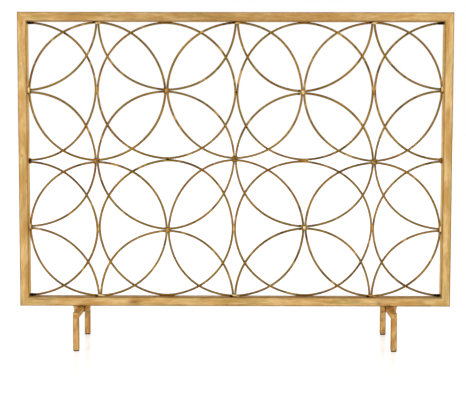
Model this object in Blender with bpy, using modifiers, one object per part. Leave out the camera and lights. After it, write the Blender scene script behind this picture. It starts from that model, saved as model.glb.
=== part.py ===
"""Fireplace screen: a gilded steel frame round a grille of overlapping rings, on two bar legs.

Metres, +Z up. The origin is on the floor, under the middle of the screen. The front faces -Y and
+X runs to the right as the front is seen. The rings lie in three layers, one rod thick each, and
their centres sit on a square lattice: rows and columns are counted from the top left corner.
"""

import math

import bmesh
import bpy
from mathutils import Matrix, Vector

# Ring grille
CELL = 0.152               # side of a lattice cell
COLUMNS = 6
ROWS = 4
ROD_DIAMETER = 0.0048      # three sixteenths of an inch
RING_SPACING = 0.0014      # daylight between two rings of one layer that pass side by side
SIDE_MARGIN = 0.0015       # room between the lattice's outer columns and the stiles

# Frame, rectangular steel tube mitred at the corners
TUBE_FACE = 0.020          # width seen from the front
TUBE_DEPTH = 0.030
TUBE_WALL = 0.0015
TUBE_EDGE_RADIUS = 0.0012

# Legs, square steel bar
BAR = 0.0127               # half an inch
BAR_EDGE = 0.0006
LEG_SPREAD = 0.684         # middle of one leg to middle of the other
LEG_DEPTH = 0.210          # front face of the front post to rear face of the rear post
FRAME_LIFT = 0.084         # floor to the underside of the frame
PAD_THICKNESS = 0.002
PAD_INSET = 0.0008         # the pad stands in from the post's sides by this much
LUG_LENGTH = 0.0127
LUG_TAPER = 0.0025         # how far a lug's end slopes in towards its underside

# Leg screws and the square nuts welded inside the bottom rail
SCREW_DIAMETER = 0.005
SCREW_HEAD_DIAMETER = 0.009
SCREW_HEAD_HEIGHT = 0.0028
SCREW_POINT = 0.001        # how far a screw stands out of its nut
SOCKET_WIDTH = 0.003       # hexagon socket, across flats
SOCKET_DEPTH = 0.0015
NUT_WIDTH = 0.008
NUT_HEIGHT = 0.004

# Clearances
TOUCH = 0.0003             # between pieces that touch or are welded together
ROD_END_GAP = 0.0005       # between a rod's cut end and the tube it is welded to
HOLE_CLEARANCE = 0.0003    # round a screw, in every hole it passes

# Facets
RING_SEGMENTS = 40
ROD_SIDES = 8
TURN_STEPS = 12

# Worked out from the sizes above
RING_RADIUS = CELL - (ROD_DIAMETER + RING_SPACING) / 2
LAYER_STEP = ROD_DIAMETER + TOUCH
FRAME_WIDTH = COLUMNS * CELL + 2 * (SIDE_MARGIN + TUBE_FACE)
FRAME_HEIGHT = ROWS * CELL + 2 * TUBE_FACE
SILL = FRAME_LIFT + TUBE_FACE                    # height of the bottom rail's upper face
BAR_TOP = FRAME_LIFT - TOUCH                     # top of a leg's bar and lugs
LUG_CENTRE = BAR / 2 + TOUCH + LUG_LENGTH / 2    # middle of a lug from the middle of its leg
HOLE_RADIUS = SCREW_DIAMETER / 2 + HOLE_CLEARANCE
NUT_FLOOR = FRAME_LIFT + TUBE_WALL + TOUCH       # underside of a nut

# Layers from front to back: name, parity of its columns, parity of its rows, place along Y
LAYERS = (
    ("front", 1, 1, -LAYER_STEP),
    ("middle", 0, 0, 0.0),
    ("back", 0, 1, LAYER_STEP),
)

# Finishes: colour, metallic, roughness
FINISHES = {
    "gilded_tube": ((0.60, 0.37, 0.13), 0.85, 0.42),
    "gilded_rod": ((0.29, 0.19, 0.08), 0.80, 0.48),
    "gilded_bar": ((0.56, 0.35, 0.13), 0.85, 0.45),
    "brown_rubber": ((0.09, 0.06, 0.04), 0.0, 0.80),
    "bronzed_screw": ((0.22, 0.14, 0.07), 0.9, 0.40),
    "plain_steel": ((0.42, 0.40, 0.37), 1.0, 0.45),
}


def clear_scene():
    """Remove everything that the opened file brought with it."""
    for old in list(bpy.data.objects):
        bpy.data.objects.remove(old)


def make_collection(name):
    """Add a collection to the scene."""
    collection = bpy.data.collections.new(name)
    bpy.context.scene.collection.children.link(collection)
    return collection


def make_materials():
    """One Principled material for each finish."""
    materials = {}
    for name, (colour, metallic, roughness) in FINISHES.items():
        material = bpy.data.materials.new(name)
        material.use_nodes = True
        shader = material.node_tree.nodes["Principled BSDF"]
        shader.inputs["Base Color"].default_value = (*colour, 1.0)
        shader.inputs["Metallic"].default_value = metallic
        shader.inputs["Roughness"].default_value = roughness
        materials[name] = material
    return materials


def add_object(name, data, collection, material=None, place=(0.0, 0.0, 0.0), turn=(0.0, 0.0, 0.0)):
    """Put mesh or curve data in the scene under its own name."""
    obj = bpy.data.objects.new(name, data)
    if material and not data.materials:
        data.materials.append(material)
    obj.location = place
    obj.rotation_euler = turn
    collection.objects.link(obj)
    return obj


def mesh_from(bm, name):
    """Turn a bmesh into mesh data with its faces pointing out."""
    bmesh.ops.recalc_face_normals(bm, faces=bm.faces)
    mesh = bpy.data.meshes.new(name)
    bm.to_mesh(mesh)
    bm.free()
    return mesh


def box_bmesh(size):
    """A box of this size, centred on its origin."""
    bm = bmesh.new()
    bmesh.ops.create_cube(bm, size=1.0, matrix=Matrix.Diagonal((*size, 1.0)))
    return bm


def prism_mesh(name, radius, height, sides):
    """An upright prism or cylinder, centred on its origin."""
    bm = bmesh.new()
    bmesh.ops.create_cone(bm, cap_ends=True, segments=sides, radius1=radius, radius2=radius,
                          depth=height)
    return mesh_from(bm, name)


def hide_cutter(cutter):
    """Mark an object as a cutter that is not part of the screen."""
    cutter.hide_render = True
    cutter.display_type = "WIRE"


def cut(obj, cutter):
    """Take one object's shape out of another."""
    boolean = obj.modifiers.new("cut_" + cutter.name, "BOOLEAN")
    boolean.operation = "DIFFERENCE"
    boolean.object = cutter


def lattice_point(column, row):
    """World X and Z of a lattice point."""
    return (column - COLUMNS / 2) * CELL, SILL + (ROWS - row) * CELL


def open_sides(column, row):
    """Which way the grille opens from a lattice point: -1 or 1 along X and Z, or 0 for both ways."""
    along_x = {0: 1, COLUMNS: -1}.get(column, 0)
    along_z = {0: -1, ROWS: 1}.get(row, 0)
    return along_x, along_z


def arc_span(column, row):
    """Start and end angle of the stretch of a ring that lies inside the frame.

    Angles run from +X towards +Z. An end that meets a stile runs on by the side margin.
    """
    along_x, along_z = open_sides(column, row)
    half_sweep = math.pi / 4 if along_x and along_z else math.pi / 2
    middle = math.atan2(along_z, along_x)
    at_rail = ROD_END_GAP / RING_RADIUS
    at_stile = (ROD_END_GAP - SIDE_MARGIN) / RING_RADIUS
    ends = []
    for side in (-1, 1):
        angle = middle + side * half_sweep
        meets_stile = along_x and abs(math.cos(angle)) < 0.5
        ends.append(angle - side * (at_stile if meets_stile else at_rail))
    return ends


def make_arc(name, column, row, depth, collection, material):
    """A half ring or a quarter ring: round rod on a poly curve, with capped ends."""
    start, end = arc_span(column, row)
    steps = round(RING_SEGMENTS * (end - start) / (2 * math.pi))
    curve = bpy.data.curves.new(name, "CURVE")
    curve.dimensions = "3D"
    curve.bevel_depth = ROD_DIAMETER / 2
    curve.bevel_resolution = (ROD_SIDES - 4) // 2
    curve.use_fill_caps = True
    spline = curve.splines.new("POLY")
    spline.points.add(steps)
    for index, point in enumerate(spline.points):
        angle = start + (end - start) * index / steps
        point.co = (RING_RADIUS * math.cos(angle), 0.0, RING_RADIUS * math.sin(angle), 1.0)
    spline.use_smooth = True
    x, z = lattice_point(column, row)
    add_object(name, curve, collection, material, place=(x, depth, z))


def make_ring_mesh():
    """The mesh that every full ring shares: a torus round Z."""
    bpy.ops.mesh.primitive_torus_add(major_segments=RING_SEGMENTS, minor_segments=ROD_SIDES,
                                     major_radius=RING_RADIUS, minor_radius=ROD_DIAMETER / 2)
    torus = bpy.context.active_object
    mesh = torus.data
    mesh.name = "ring"
    mesh.shade_smooth()
    bpy.data.objects.remove(torus)
    return mesh


def make_grille(collection, material):
    """Every ring, half ring and corner arc, layer by layer."""
    ring_mesh = make_ring_mesh()
    for layer, column_parity, row_parity, depth in LAYERS:
        for row in range(row_parity, ROWS + 1, 2):
            for column in range(column_parity, COLUMNS + 1, 2):
                place = f"row{row}_col{column}"
                along_x, along_z = open_sides(column, row)
                if not along_x and not along_z:
                    x, z = lattice_point(column, row)
                    add_object(f"{layer}_ring_{place}", ring_mesh, collection, material,
                               place=(x, depth, z), turn=(math.pi / 2, 0.0, 0.0))
                elif along_x and along_z:
                    make_arc(f"corner_arc_{place}", column, row, depth, collection, material)
                else:
                    make_arc(f"{layer}_half_ring_{place}", column, row, depth, collection, material)


def mitred_bar_mesh(name, length):
    """A solid bar along X with rounded long edges and mitred ends, its outer face towards +Z."""
    bm = box_bmesh((length, TUBE_DEPTH, TUBE_FACE))
    long_edges = [edge for edge in bm.edges
                  if abs((edge.verts[0].co - edge.verts[1].co).x) > length / 2]
    bmesh.ops.bevel(bm, geom=long_edges, offset=TUBE_EDGE_RADIUS, segments=2, profile=0.5,
                    affect="EDGES", clamp_overlap=True)
    for side in (-1, 1):
        corner = Vector((side * (length / 2 - TOUCH / 2), 0.0, TUBE_FACE / 2))
        bmesh.ops.bisect_plane(bm, geom=bm.verts[:] + bm.edges[:] + bm.faces[:], plane_co=corner,
                               plane_no=(side, 0.0, -1.0), clear_outer=True)
        open_edges = [edge for edge in bm.edges if edge.is_boundary]
        bmesh.ops.holes_fill(bm, edges=open_edges)
    return mesh_from(bm, name)


def make_tube(name, length, centre, turn, collection, cutters, material):
    """One side of the frame: a mitred bar made hollow by a core that runs past both ends."""
    x, z = centre
    rotation = (0.0, turn, 0.0)
    tube = add_object(name, mitred_bar_mesh(name, length), collection, material,
                      place=(x, 0.0, z), turn=rotation)
    core_size = (2 * length, TUBE_DEPTH - 2 * TUBE_WALL, TUBE_FACE - 2 * TUBE_WALL)
    core = add_object(name + "_core", mesh_from(box_bmesh(core_size), name + "_core"), cutters,
                      place=(x, 0.0, z), turn=rotation)
    hide_cutter(core)
    cut(tube, core)
    return tube


def make_frame(collection, cutters, material):
    """Two rails and two stiles; returns the bottom rail, which the leg screws go into."""
    reach_x = (FRAME_WIDTH - TUBE_FACE) / 2
    reach_z = (FRAME_HEIGHT - TUBE_FACE) / 2
    middle_z = FRAME_LIFT + FRAME_HEIGHT / 2
    quarter = math.pi / 2
    make_tube("top_rail", FRAME_WIDTH, (0.0, middle_z + reach_z), 0.0, collection, cutters,
              material)
    make_tube("right_stile", FRAME_HEIGHT, (reach_x, middle_z), quarter, collection, cutters,
              material)
    bottom_rail = make_tube("bottom_rail", FRAME_WIDTH, (0.0, middle_z - reach_z), 2 * quarter,
                            collection, cutters, material)
    make_tube("left_stile", FRAME_HEIGHT, (-reach_x, middle_z), 3 * quarter, collection, cutters,
              material)
    return bottom_rail


def make_bar(name, size, centre, collection, material):
    """A length of square bar with its edges broken."""
    bar = add_object(name, mesh_from(box_bmesh(size), name), collection, material, place=centre)
    bevel = bar.modifiers.new("edges", "BEVEL")
    bevel.width = BAR_EDGE
    bevel.segments = 1


def make_lug(name, x, outward, hole, collection, material):
    """A screw lug beside the leg's bar, its far end sloping in towards the underside."""
    bm = box_bmesh((LUG_LENGTH, BAR, BAR))
    for vert in bm.verts:
        if vert.co.x * outward > 0 and vert.co.z < 0:
            vert.co.x -= outward * LUG_TAPER
    lug = add_object(name, mesh_from(bm, name), collection, material,
                     place=(x, 0.0, BAR_TOP - BAR / 2))
    bevel = lug.modifiers.new("edges", "BEVEL")
    bevel.width = BAR_EDGE
    bevel.segments = 1
    cut(lug, hole)


def make_screw(name, x, collection, cutters, material):
    """A button head screw, turned about Z, with its head under the lug and a hexagon socket."""
    head_top = BAR_TOP - BAR - TOUCH
    length = NUT_FLOOR + NUT_HEIGHT + SCREW_POINT - head_top
    shank = SCREW_DIAMETER / 2
    head = SCREW_HEAD_DIAMETER / 2
    profile = [
        (0.0, length), (shank * 0.8, length), (shank, length - shank * 0.3), (shank, 0.0),
        (head, 0.0), (head, -0.3 * SCREW_HEAD_HEIGHT), (0.72 * head, -0.85 * SCREW_HEAD_HEIGHT),
        (0.45 * head, -SCREW_HEAD_HEIGHT), (0.0, -SCREW_HEAD_HEIGHT),
    ]
    mesh = bpy.data.meshes.new(name)
    edges = [(index, index + 1) for index in range(len(profile) - 1)]
    mesh.from_pydata([(radius, 0.0, height) for radius, height in profile], edges, [])
    screw = add_object(name, mesh, collection, material, place=(x, 0.0, head_top))
    turning = screw.modifiers.new("turning", "SCREW")
    turning.steps = TURN_STEPS
    turning.render_steps = TURN_STEPS
    turning.use_merge_vertices = True
    turning.merge_threshold = 0.00001
    socket_radius = SOCKET_WIDTH / math.sqrt(3)
    socket = add_object(name + "_socket",
                        prism_mesh(name + "_socket", socket_radius, 2 * SOCKET_DEPTH, 6),
                        cutters, place=(x, 0.0, head_top - SCREW_HEAD_HEIGHT))
    hide_cutter(socket)
    cut(screw, socket)


def make_nut(name, x, hole, collection, material):
    """A square nut standing on the bottom rail's lower wall, inside the tube."""
    size = (NUT_WIDTH, NUT_WIDTH, NUT_HEIGHT)
    nut = add_object(name, mesh_from(box_bmesh(size), name), collection, material,
                     place=(x, 0.0, NUT_FLOOR + NUT_HEIGHT / 2))
    cut(nut, hole)


def make_fixing(leg_name, lug_name, x, outward, bottom_rail, collection, cutters, materials):
    """A lug with its screw, its nut and the hole through all of them."""
    full_name = f"{leg_name}_{lug_name}"
    hole_height = 2 * (BAR + TUBE_WALL + NUT_HEIGHT)
    hole = add_object(full_name + "_hole",
                      prism_mesh(full_name + "_hole", HOLE_RADIUS, hole_height, TURN_STEPS),
                      cutters, place=(x, 0.0, FRAME_LIFT))
    hide_cutter(hole)
    make_lug(full_name + "_lug", x, outward, hole, collection, materials["gilded_bar"])
    make_screw(full_name + "_screw", x, collection, cutters, materials["bronzed_screw"])
    make_nut(full_name + "_nut", x, hole, collection, materials["plain_steel"])
    cut(bottom_rail, hole)


def make_leg(side, side_name, bottom_rail, collection, cutters, materials):
    """A bridge of square bar under the bottom rail: a bar across, two posts, two lugs, two pads."""
    leg_name = side_name + "_leg"
    x = side * LEG_SPREAD / 2
    gilded = materials["gilded_bar"]
    make_bar(leg_name + "_top_bar", (BAR, LEG_DEPTH, BAR), (x, 0.0, BAR_TOP - BAR / 2),
             collection, gilded)
    post_top = BAR_TOP - BAR - TOUCH
    post_foot = PAD_THICKNESS + TOUCH
    for end, end_name in ((-1, "front"), (1, "rear")):
        y = end * (LEG_DEPTH - BAR) / 2
        make_bar(f"{leg_name}_{end_name}_post", (BAR, BAR, post_top - post_foot),
                 (x, y, (post_top + post_foot) / 2), collection, gilded)
        pad_width = BAR - 2 * PAD_INSET
        pad = mesh_from(box_bmesh((pad_width, pad_width, PAD_THICKNESS)), "pad")
        add_object(f"{leg_name}_{end_name}_pad", pad, collection, materials["brown_rubber"],
                   place=(x, y, PAD_THICKNESS / 2))
    for outward, lug_name in ((side, "outer"), (-side, "inner")):
        make_fixing(leg_name, lug_name, x + outward * LUG_CENTRE, outward, bottom_rail,
                    collection, cutters, materials)


def main():
    """Build the whole screen."""
    clear_scene()
    screen = make_collection("fireplace_screen")
    cutters = make_collection("cutters")
    materials = make_materials()
    bottom_rail = make_frame(screen, cutters, materials["gilded_tube"])
    make_grille(screen, materials["gilded_rod"])
    make_leg(-1, "left", bottom_rail, screen, cutters, materials)
    make_leg(1, "right", bottom_rail, screen, cutters, materials)


main()
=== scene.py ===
"""Looks of a gilded fireplace screen: leaf, patina, bent rods, weld beads and a plain studio.

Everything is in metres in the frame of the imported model: +Z up, the front towards -Y, the floor at
Z = 0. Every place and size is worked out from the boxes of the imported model's nodes.
"""

from __future__ import annotations

import logging
import math
import re
from dataclasses import dataclass, field
from enum import Enum

import bmesh
import bpy
from mathutils import Matrix, Vector


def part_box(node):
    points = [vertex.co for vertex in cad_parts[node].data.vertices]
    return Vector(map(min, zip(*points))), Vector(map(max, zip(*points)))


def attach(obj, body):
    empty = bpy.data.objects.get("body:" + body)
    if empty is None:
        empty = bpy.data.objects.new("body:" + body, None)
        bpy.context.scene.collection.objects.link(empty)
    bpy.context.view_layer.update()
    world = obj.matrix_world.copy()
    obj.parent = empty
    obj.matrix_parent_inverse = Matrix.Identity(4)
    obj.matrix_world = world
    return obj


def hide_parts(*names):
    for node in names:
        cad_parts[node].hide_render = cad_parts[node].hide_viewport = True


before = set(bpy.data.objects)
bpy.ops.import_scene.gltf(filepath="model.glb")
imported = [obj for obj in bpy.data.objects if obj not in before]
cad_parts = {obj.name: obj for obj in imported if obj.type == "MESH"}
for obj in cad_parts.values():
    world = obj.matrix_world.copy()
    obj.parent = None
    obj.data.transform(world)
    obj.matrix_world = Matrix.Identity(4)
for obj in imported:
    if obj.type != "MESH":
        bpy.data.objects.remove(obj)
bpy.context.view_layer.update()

log = logging.getLogger("fireplace_screen")

BODY = "root"
MM = 0.001
LAY = "lay"            # attribute: place along, across and up a straight bar, in metres
EDGE = "edge"          # attribute: 1 on a bar's long edges, falling to 0 in the middle of its faces; on a tube's inner side, raised as painted shade with some patina
TONE = "tone"          # attribute: how bright a weld bead is, from near black (0) to gilded (1); some dark beads are painted shade
SMUDGE_AND_SHADE = "smudge_and_shade"      # attribute: how strongly a dark patch shows on a tube's front: hand-rubbed brown marks, and painted shade along the top rail


def linear(hex_colour: str) -> tuple[float, float, float, float]:
    """Turn an sRGB hex colour into linear light.

    Args:
        hex_colour: Six hex digits, such as "cda566".

    Returns:
        Red, green, blue and an alpha of one.
    """
    values = [int(hex_colour[at:at + 2], 16) / 255.0 for at in (0, 2, 4)]
    light = [v / 12.92 if v <= 0.04045 else ((v + 0.055) / 1.055) ** 2.4 for v in values]
    return (light[0], light[1], light[2], 1.0)


def plug(tree: bpy.types.NodeTree, node: bpy.types.Node, links: dict) -> None:
    """Fill a node's inputs.

    Args:
        tree: The tree that the node is in.
        node: The node.
        links: For each input, by name or by place among the inputs in use: a node (its first
            output in use is linked), a socket to link, or a plain value.
    """
    inputs = [socket for socket in node.inputs if socket.enabled]
    for key, value in links.items():
        socket = inputs[key] if isinstance(key, int) else next(s for s in inputs if s.name == key)
        if isinstance(value, bpy.types.Node):
            value = next(s for s in value.outputs if s.enabled)
        if isinstance(value, bpy.types.NodeSocket):
            tree.links.new(value, socket)
        else:
            socket.default_value = value


def add_node(tree: bpy.types.NodeTree, kind: str, links: dict | None = None,
             **settings: object) -> bpy.types.Node:
    """Add a node to a geometry or material tree, with its settings, values and links.

    Args:
        tree: The tree that gets the node.
        kind: The node's Blender type name.
        links: What its inputs get, as plug takes it.
        **settings: Properties of the node itself, set before its inputs.

    Returns:
        The new node.
    """
    node = tree.nodes.new(kind)
    for key, value in settings.items():
        setattr(node, key, value)
    plug(tree, node, links or {})
    return node


def start_material(name: str) -> tuple[bpy.types.Material, bpy.types.NodeTree, bpy.types.Node]:
    """Make a node material, and return it with its tree and its shader."""
    material = bpy.data.materials.new(name)
    material.use_nodes = True
    return material, material.node_tree, material.node_tree.nodes["Principled BSDF"]


# ---------------------------------------------------------------------------------- finishes


@dataclass(frozen=True)
class Glaze:
    """One layer of colour over the metal, laid where a noise pattern passes a threshold.

    Attributes:
        colour: sRGB hex colour of the layer.
        along_mm: Size of its patches along the bar.
        across_mm: Size of its patches across the bar.
        start: Noise value where the layer begins to show.
        full: Noise value where it shows at its full strength.
        strength: Share of the layer's colour at full strength.
        seed: Moves the pattern, so that no two layers share one.
    """

    colour: str
    along_mm: float
    across_mm: float
    start: float
    full: float
    strength: float
    seed: float


@dataclass(frozen=True)
class GildedFinish:
    """Antiqued gold leaf on steel: leaf laid over a red-brown ground, then toned and waxed.

    Attributes:
        name: Name of the material, after what it is.
        leaf: sRGB hex colour of the bare leaf.
        glazes: The toning layers, from the lowest to the top one.
        roughness: Lowest and highest roughness over the surface.
        metallic: How much of the surface is metal, and not wax or ground.
        relief_mm: Height of the leaf's wrinkles and brush marks.
        follows_bar: Whether the pattern runs along a straight bar, or through space.
        ground: sRGB hex colour of the dark ground, laid along edges, in rubbed marks, and as painted
            shade on the tubes' inner sides and along the top rail.
        rim: sRGB hex colour that the leaf takes at a glancing angle, where wax dulls it.
    """

    name: str
    leaf: str
    glazes: tuple[Glaze, ...]
    roughness: tuple[float, float]
    metallic: float
    relief_mm: float
    follows_bar: bool
    ground: str = "6a4220"
    rim: str = "e2cca0"

    def material(self) -> bpy.types.Material:
        """Build the material.

        Returns:
            A node material with toned colour, uneven gloss and fine relief.
        """
        material, tree, shader = start_material(self.name)
        if self.follows_bar:
            place = add_node(tree, "ShaderNodeAttribute", attribute_name=LAY).outputs["Vector"]
        else:
            place = add_node(tree, "ShaderNodeTexCoord").outputs["Object"]
        colour = linear(self.leaf)
        for glaze in self.glazes:
            colour = self._lay_glaze(tree, place, colour, glaze)
        gloss = self._pattern(tree, place, (12.0, 6.0), 3.0, 40.0)
        rough = add_node(tree, "ShaderNodeMapRange", {
            "Value": gloss, "From Min": 0.3, "From Max": 0.7,
            "To Min": self.roughness[0], "To Max": self.roughness[1]})
        metallic = self.metallic
        if self.follows_bar:
            # Dark ground along edges and in rubbed marks; on the tubes also painted shade on the
            # inner sides and along the top rail.
            ground_and_shade = self._ground_and_shade(tree, place)
            colour = add_node(tree, "ShaderNodeMix", {
                "Factor": ground_and_shade, "A": colour, "B": linear(self.ground)}, data_type="RGBA")
            rough = add_node(tree, "ShaderNodeMath", {0: ground_and_shade, 1: 0.2, 2: rough},
                             operation="MULTIPLY_ADD")
            metallic = add_node(tree, "ShaderNodeMath", {0: ground_and_shade, 1: -0.7, 2: self.metallic},
                                operation="MULTIPLY_ADD")
        marks = self._pattern(tree, place, (9.0, 1.6), 4.0, 60.0)
        bump = add_node(tree, "ShaderNodeBump", {
            "Height": marks, "Strength": 0.6, "Distance": self.relief_mm * MM})
        plug(tree, shader, {
            "Base Color": colour, "Metallic": metallic, "Roughness": rough, "Normal": bump,
            "Specular Tint": linear(self.rim)})
        return material

    @staticmethod
    def _pattern(tree: bpy.types.NodeTree, place: bpy.types.NodeSocket,
                 size_mm: tuple[float, float], detail: float, seed: float) -> bpy.types.Node:
        """Add a noise pattern of a real size.

        Args:
            tree: The material's tree.
            place: Socket with the surface's coordinates, in metres.
            size_mm: Size of its patches along and across, in millimetres.
            detail: Octaves of finer noise in it.
            seed: Moves the pattern.

        Returns:
            The noise node.
        """
        along, across = (1.0 / (size * MM) for size in size_mm)
        mapping = add_node(tree, "ShaderNodeMapping", {
            "Vector": place, "Location": (seed, seed * 0.7, -seed), "Scale": (along, across, across)})
        return add_node(tree, "ShaderNodeTexNoise", {
            "Vector": mapping, "Scale": 1.0, "Detail": detail, "Roughness": 0.6})

    def _lay_glaze(self, tree: bpy.types.NodeTree, place: bpy.types.NodeSocket,
                   colour: bpy.types.Node | tuple[float, ...], glaze: Glaze) -> bpy.types.Node:
        """Lay one glaze over the colour so far.

        Args:
            tree: The material's tree.
            place: Socket with the surface's coordinates, in metres.
            colour: Colour under the glaze, plain or from a node.
            glaze: The layer.

        Returns:
            The node with the glazed colour.
        """
        noise = self._pattern(tree, place, (glaze.along_mm, glaze.across_mm), 3.0, glaze.seed)
        amount = add_node(tree, "ShaderNodeMapRange", {
            "Value": noise, "From Min": glaze.start, "From Max": glaze.full,
            "To Min": 0.0, "To Max": glaze.strength}, interpolation_type="SMOOTHSTEP")
        return add_node(tree, "ShaderNodeMix", {
            "Factor": amount, "A": colour, "B": linear(glaze.colour)}, data_type="RGBA")

    def _ground_and_shade(self, tree: bpy.types.NodeTree,
                     place: bpy.types.NodeSocket) -> bpy.types.Node:
        """Find where the dark ground colour is laid: along a bar's edges, in rubbed marks, and as
        painted shade on a tube's inner side and along the top rail.

        Args:
            tree: The material's tree.
            place: Socket with the surface's coordinates, in metres.

        Returns:
            The node with the share of dark ground, from 0 to 1.
        """
        edge = add_node(tree, "ShaderNodeAttribute", attribute_name=EDGE)
        on_edge = add_node(tree, "ShaderNodeMapRange", {
            "Value": edge.outputs["Fac"], "From Min": 0.65, "From Max": 0.93,
            "To Min": 0.0, "To Max": 0.7}, interpolation_type="SMOOTHSTEP")
        smudge_and_shade = add_node(tree, "ShaderNodeAttribute", attribute_name=SMUDGE_AND_SHADE)
        both = add_node(tree, "ShaderNodeMath", {0: on_edge, 1: smudge_and_shade.outputs["Fac"]},
                        operation="MAXIMUM")
        noise = self._pattern(tree, place, (22.0, 4.0), 4.0, 90.0)
        uneven = add_node(tree, "ShaderNodeMapRange", {
            "Value": noise, "From Min": 0.32, "From Max": 0.62, "To Min": 0.55, "To Max": 1.0})
        return add_node(tree, "ShaderNodeMath", {0: both, 1: uneven}, operation="MULTIPLY")


# Leaf on the frame's tube, brushed along its length: long honey and umber strokes.
GILDED_TUBE = GildedFinish(
    name="gold_leaf_on_steel_tube",
    leaf="deba7e",
    glazes=(
        Glaze("c39552", 70.0, 16.0, 0.38, 0.62, 0.9, 3.0),
        Glaze("a8904e", 120.0, 9.0, 0.50, 0.66, 0.6, 11.0),
        Glaze("9c7038", 45.0, 2.6, 0.52, 0.74, 0.55, 17.0),
        Glaze("ad6a38", 28.0, 6.5, 0.60, 0.72, 0.5, 23.0),
        Glaze("ecd09a", 30.0, 3.4, 0.58, 0.76, 0.5, 29.0),
    ),
    roughness=(0.34, 0.55), metallic=0.88, relief_mm=0.25, follows_bar=True)

# Leaf on the legs' square bar: shorter, redder mottling where hands and tools have been.
GILDED_BAR = GildedFinish(
    name="gold_leaf_on_square_bar",
    leaf="d2a96a",
    glazes=(
        Glaze("b98447", 26.0, 9.0, 0.40, 0.62, 0.9, 5.0),
        Glaze("94803f", 22.0, 10.0, 0.52, 0.68, 0.7, 13.0),
        Glaze("7e5529", 16.0, 3.0, 0.54, 0.74, 0.65, 19.0),
        Glaze("e0bf88", 12.0, 3.0, 0.60, 0.78, 0.5, 31.0),
    ),
    roughness=(0.34, 0.55), metallic=0.88, relief_mm=0.25, follows_bar=True)

# Leaf on the thin rod: darker and browner all over than on the tube, as painted shade, with blotches
# of bronze-brown and gold.
GILDED_ROD = GildedFinish(
    name="gold_leaf_on_round_rod",
    leaf="9a742a",
    glazes=(
        Glaze("806624", 75.0, 75.0, 0.42, 0.56, 0.9, 7.0),
        Glaze("8a5826", 50.0, 50.0, 0.50, 0.62, 0.7, 15.0),
        Glaze("5c3f18", 42.0, 42.0, 0.55, 0.68, 0.80, 21.0),
        Glaze("d4aa58", 24.0, 24.0, 0.56, 0.70, 0.75, 33.0),
    ),
    roughness=(0.32, 0.52), metallic=0.96, relief_mm=0.15, follows_bar=False, rim="7a5a2c")


@dataclass(frozen=True)
class WeldFinish:
    """Brazed and welded beads, gilded over, from near black to pale gold; some dark ones are painted
    shade.

    Attributes:
        name: Name of the material, after what it is.
        steps: sRGB hex colours with the tone at which each one stands.
        rim: sRGB hex colour that a bead takes at a glancing angle.
    """

    name: str = "gilded_weld_bead"
    steps: tuple[tuple[float, str], ...] = (
        (0.10, "1c110a"), (0.32, "6a3a1a"), (0.55, "9c6a36"), (0.78, "c79a58"), (1.0, "f0d8a0"))
    rim: str = "8a6a40"

    def material(self) -> bpy.types.Material:
        """Build the material.

        Returns:
            A node material whose colour follows each bead's tone.
        """
        material, tree, shader = start_material(self.name)
        place = add_node(tree, "ShaderNodeTexCoord").outputs["Object"]
        tone = add_node(tree, "ShaderNodeAttribute", attribute_name=TONE)
        noise = add_node(tree, "ShaderNodeTexNoise", {
            "Vector": place, "Scale": 1.0 / (5.0 * MM), "Detail": 3.0})
        shift = add_node(tree, "ShaderNodeMath", {0: noise, 1: 0.7, 2: -0.35},
                         operation="MULTIPLY_ADD")
        level = add_node(tree, "ShaderNodeMath", {0: tone.outputs["Fac"], 1: shift},
                         operation="ADD")
        ramp = add_node(tree, "ShaderNodeValToRGB", {"Fac": level})
        stops = ramp.color_ramp.elements
        for stop, (position, colour) in zip(stops, (self.steps[0], self.steps[-1])):
            stop.position, stop.color = position, linear(colour)
        for position, colour in self.steps[1:-1]:
            stops.new(position).color = linear(colour)
        metallic = add_node(tree, "ShaderNodeMapRange", {
            "Value": level, "From Min": 0.1, "From Max": 0.6, "To Min": 0.2, "To Max": 0.88})
        rough = add_node(tree, "ShaderNodeMapRange", {
            "Value": level, "From Min": 0.1, "From Max": 0.9, "To Min": 0.65, "To Max": 0.36})
        bump = add_node(tree, "ShaderNodeBump", {
            "Height": noise, "Strength": 0.7, "Distance": 0.5 * MM})
        plug(tree, shader, {
            "Base Color": ramp, "Metallic": metallic, "Roughness": rough, "Normal": bump,
            "Specular Tint": linear(self.rim)})
        return material


@dataclass(frozen=True)
class PlainFinish:
    """A finish of one colour with fine speckle and relief, for the small fittings.

    Attributes:
        name: Name of the material, after what it is.
        colour: sRGB hex colour.
        speckle: sRGB hex colour of the speckle.
        metallic: 1 for bare metal, 0 for rubber.
        roughness: Lowest and highest roughness over the surface.
        grain_mm: Size of the speckle and of the relief.
    """

    name: str
    colour: str
    speckle: str
    metallic: float
    roughness: tuple[float, float]
    grain_mm: float

    def material(self) -> bpy.types.Material:
        """Build the material.

        Returns:
            A node material with speckled colour, uneven gloss and fine relief.
        """
        material, tree, shader = start_material(self.name)
        place = add_node(tree, "ShaderNodeTexCoord").outputs["Object"]
        noise = add_node(tree, "ShaderNodeTexNoise", {
            "Vector": place, "Scale": 1.0 / (self.grain_mm * MM), "Detail": 3.0})
        amount = add_node(tree, "ShaderNodeMapRange", {
            "Value": noise, "From Min": 0.4, "From Max": 0.7, "To Min": 0.0, "To Max": 0.8})
        colour = add_node(tree, "ShaderNodeMix", {
            "Factor": amount, "A": linear(self.colour), "B": linear(self.speckle)},
            data_type="RGBA")
        rough = add_node(tree, "ShaderNodeMapRange", {
            "Value": noise, "From Min": 0.3, "From Max": 0.7,
            "To Min": self.roughness[0], "To Max": self.roughness[1]})
        bump = add_node(tree, "ShaderNodeBump", {
            "Height": noise, "Strength": 0.5, "Distance": 0.1 * MM})
        plug(tree, shader, {
            "Base Color": colour, "Metallic": self.metallic, "Roughness": rough, "Normal": bump})
        return material


# Moulded rubber: matt, nearly black brown, with a fine mould texture.
FOOT_RUBBER = PlainFinish("moulded_brown_rubber", "4a3524", "2e2118", 0.0, (0.7, 0.9), 0.8)
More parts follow.
